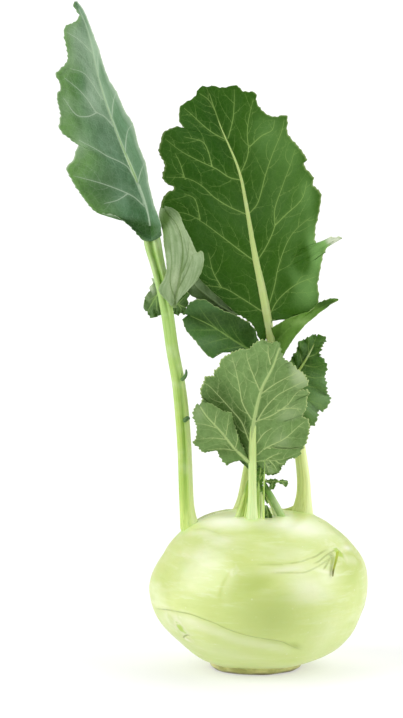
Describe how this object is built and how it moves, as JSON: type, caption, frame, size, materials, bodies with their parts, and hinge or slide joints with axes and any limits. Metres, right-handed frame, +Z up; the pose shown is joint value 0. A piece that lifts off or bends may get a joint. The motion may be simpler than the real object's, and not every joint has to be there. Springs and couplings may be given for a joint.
{
  "type": "kohlrabi",
  "caption": "Round pale green kohlrabi bulb on its trimmed root face, with upright stalks, lobed leaves and a crown of young leaves.",
  "frame": {"origin": "middle of the flat trimmed root face that the bulb stands on", "axes": "+Z up through the bulb and along the leaves, +X towards the right petiole, front towards -Y"},
  "size_m": [0.1311, 0.0904, 0.2819],
  "materials": {
    "bulb_skin": "smooth waxy skin",
    "stalk": "smooth fibrous stalk",
    "leaf_upper": "veined leaf, upper side to the front",
    "leaf_under": "veined leaf, underside to the front",
    "young_growth": "tender young growth"
  },
  "bodies": {
    "root": {"bulb": "bulb_skin", "left_leaf_stalk": "stalk", "left_leaf_blade": "leaf_upper", "left_leaf_curled_lobe": "leaf_under", "left_leaf_back_lobe_left": "leaf_upper", "left_leaf_back_lobe_right": "leaf_upper", "left_stalk_upper_nub": "young_growth", "left_stalk_lower_nub": "young_growth", "big_leaf_stalk": "stalk", "big_leaf_blade": "leaf_upper", "big_leaf_left_lobe": "leaf_upper", "big_leaf_right_lobe": "leaf_upper", "right_leaf_stalk": "stalk", "right_leaf_blade": "leaf_upper", "front_leaf_stalk": "stalk", "front_leaf_blade": "leaf_under", "front_leaf_flap": "leaf_under", "young_leaf_stalk": "young_growth", "young_leaf_blade": "young_growth", "inner_leaf_stalk": "young_growth", "inner_leaf_blade": "young_growth", "pale_bud": "young_growth", "stub_stalk": "stalk", "scar_stub": "young_growth"}
  },
  "joints": []
}
